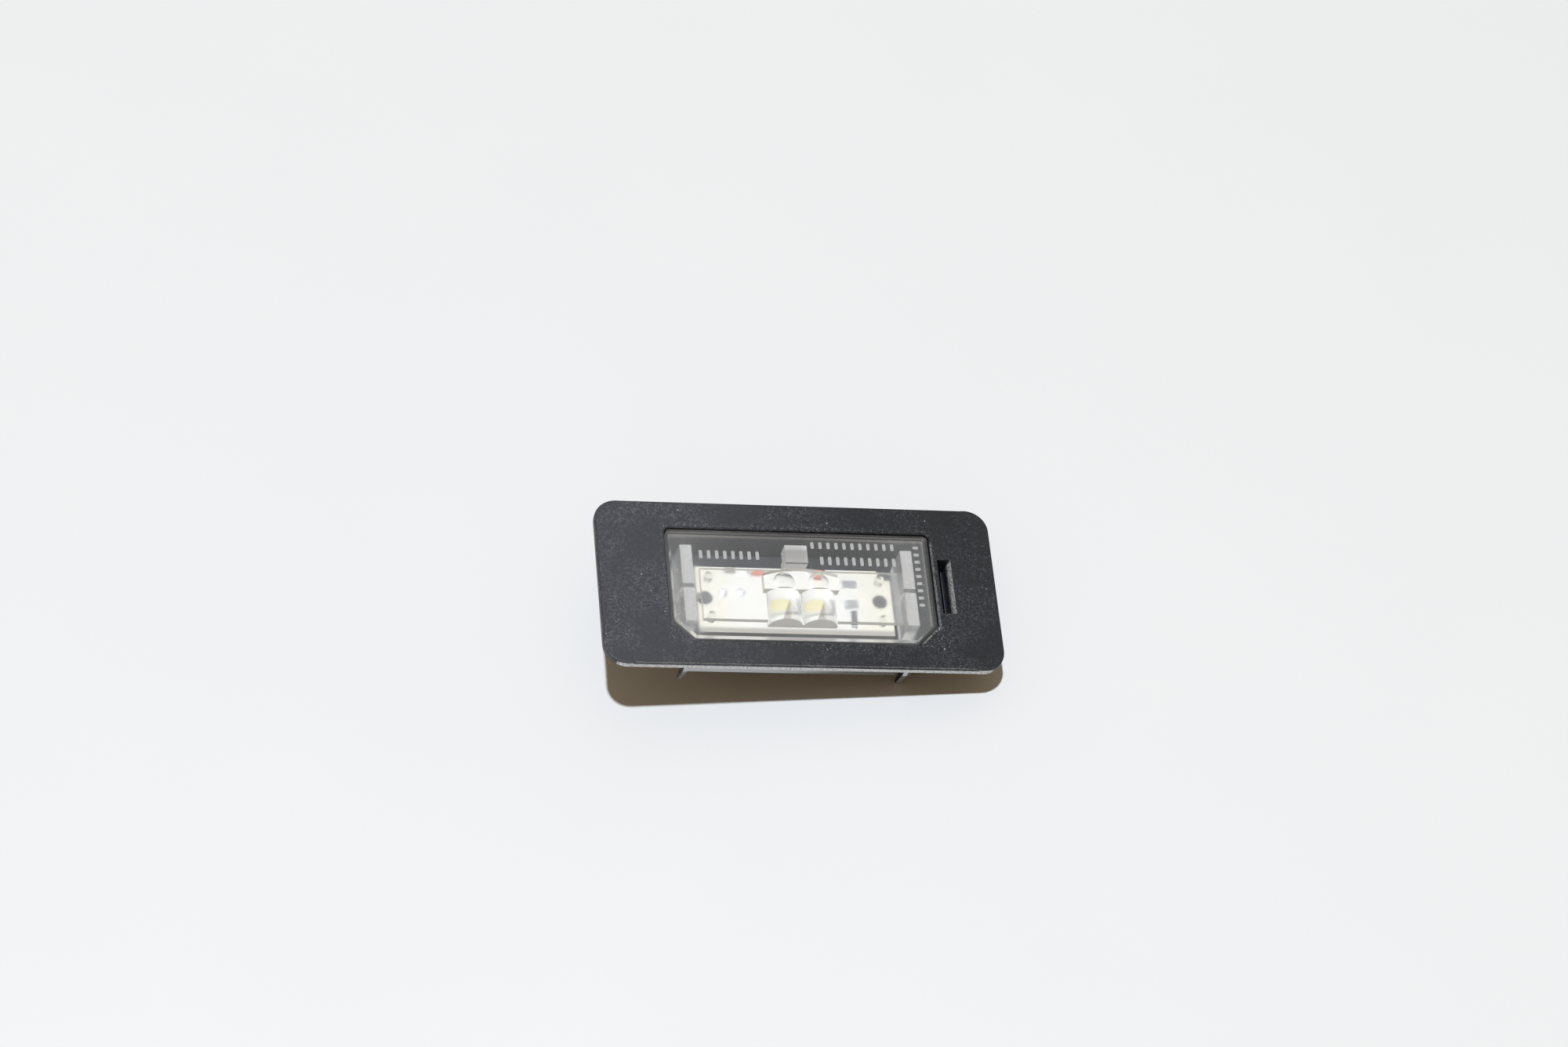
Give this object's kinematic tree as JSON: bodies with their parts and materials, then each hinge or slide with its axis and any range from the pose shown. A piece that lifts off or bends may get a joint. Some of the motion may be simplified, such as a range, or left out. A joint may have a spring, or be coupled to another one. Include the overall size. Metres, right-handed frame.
{
  "type": "number plate lamp",
  "caption": "Clip-in number plate lamp: black bezel with a clear bevelled window, light-emitting diodes on a board under a lobed optic, plug socket behind, spring catch with release slot.",
  "frame": {"origin": "centre of the bezel on the plane where its rim meets the body panel", "axes": "+Z out of the panel towards the plate, +X along the bezel towards the release slot, +Y across it towards the plain corners of the window"},
  "size_m": [0.086, 0.0392, 0.0186],
  "materials": {
    "black_plastic": "fine grained face, smooth sides and back",
    "clear_cover": "clear, with frosted legs",
    "clear_optic": "clear",
    "board": "white solder mask",
    "led_package": "satin white",
    "phosphor": "satin yellow",
    "resistor": "glazed black with tinned ends",
    "capacitor": "fired ceramic with tinned ends",
    "diode_glass": "orange glass",
    "tinned_metal": "tinned",
    "terminal_brass": "tinned brass",
    "spring_steel": "bright spring steel"
  },
  "bodies": {
    "lamp": {"housing": "black_plastic", "cover_lens": "clear_cover", "optic_lens": "clear_optic", "circuit_board": "board", "led_left": "led_package", "led_right": "led_package", "phosphor_left": "phosphor", "phosphor_right": "phosphor", "resistor_upper": "resistor", "resistor_middle": "resistor", "resistor_lower": "resistor", "capacitor": "capacitor", "diode_left": "diode_glass", "diode_right": "diode_glass", "diode_end_caps": "tinned_metal", "solder_left": "tinned_metal", "solder_right": "tinned_metal", "terminal_left": "terminal_brass", "terminal_right": "terminal_brass"},
    "catch": {"spring_catch": "spring_steel"}
  },
  "joints": [
    {"name": "catch_hinge", "type": "hinge", "parent": "lamp", "child": "catch", "pos_m": [0.0342, 0.0005, -0.0082], "axis": [0, -1, 0], "range_deg": [0, 18], "stiffness_Nm_per_rad": 0.2}
  ]
}
